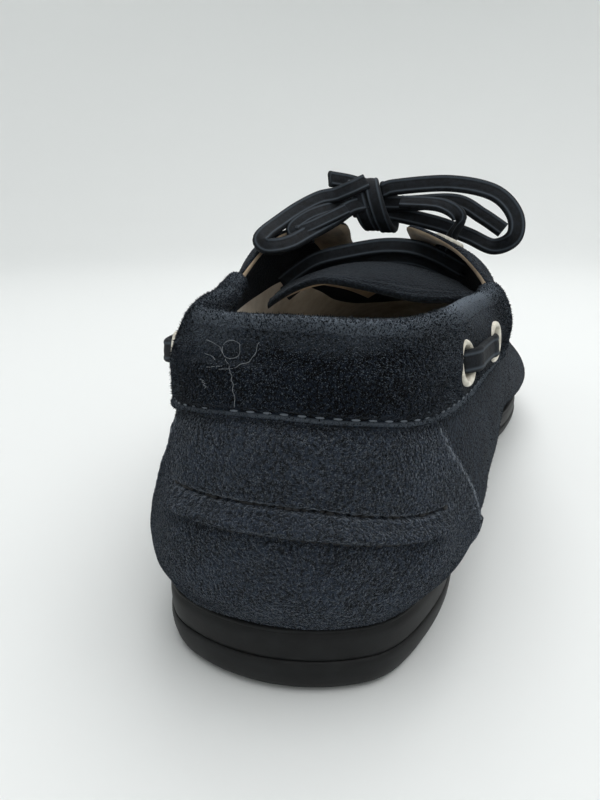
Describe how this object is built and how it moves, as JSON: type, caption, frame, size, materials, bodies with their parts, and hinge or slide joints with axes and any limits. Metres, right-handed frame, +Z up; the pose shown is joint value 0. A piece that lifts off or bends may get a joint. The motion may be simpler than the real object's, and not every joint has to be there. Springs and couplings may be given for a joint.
{
  "type": "boat shoe",
  "caption": "Left suede boat shoe, low and slip-on shaped, with a rolled collar, side laces through pale eyelets, a tied bow, a ridge across the heel and a black banded rubber sole.",
  "frame": {"origin": "on the floor under the middle of the shoe's length and width", "axes": "+Y to the toe, +Z up, +X to the inner (big toe) side of this left shoe"},
  "size_m": [0.1086, 0.3001, 0.1045],
  "materials": {
    "outsole_rubber": "satin",
    "midsole_rubber": "satin",
    "upper_suede": "matte",
    "counter_suede": "matte",
    "collar_suede": "matte",
    "tongue_suede": "matte",
    "insole_leather": "matte",
    "eyelets": "satin",
    "lace": "matte"
  },
  "bodies": {
    "root": {"outsole": "outsole_rubber", "midsole": "midsole_rubber", "upper": "upper_suede", "insole": "insole_leather", "tongue": "tongue_suede", "heel_counter": "counter_suede", "collar_roll": "collar_suede", "eyelet_inner_rear": "eyelets", "eyelet_inner_second": "eyelets", "eyelet_inner_third": "eyelets", "eyelet_inner_fourth": "eyelets", "eyelet_inner_upper": "eyelets", "eyelet_inner_lower": "eyelets", "eyelet_outer_rear": "eyelets", "eyelet_outer_second": "eyelets", "eyelet_outer_third": "eyelets", "eyelet_outer_fourth": "eyelets", "eyelet_outer_upper": "eyelets", "eyelet_outer_lower": "eyelets", "lace_bar_front": "lace", "lace_bar_rear": "lace", "lace_strand_inner": "lace", "lace_strand_outer": "lace", "side_lace_inner_rear": "lace", "side_lace_inner_front": "lace", "side_lace_outer_rear": "lace", "side_lace_outer_front": "lace", "lace_knot": "lace", "lace_end_left": "lace", "lace_end_right": "lace", "bow_loop_left": "lace", "bow_loop_right": "lace"}
  },
  "joints": []
}
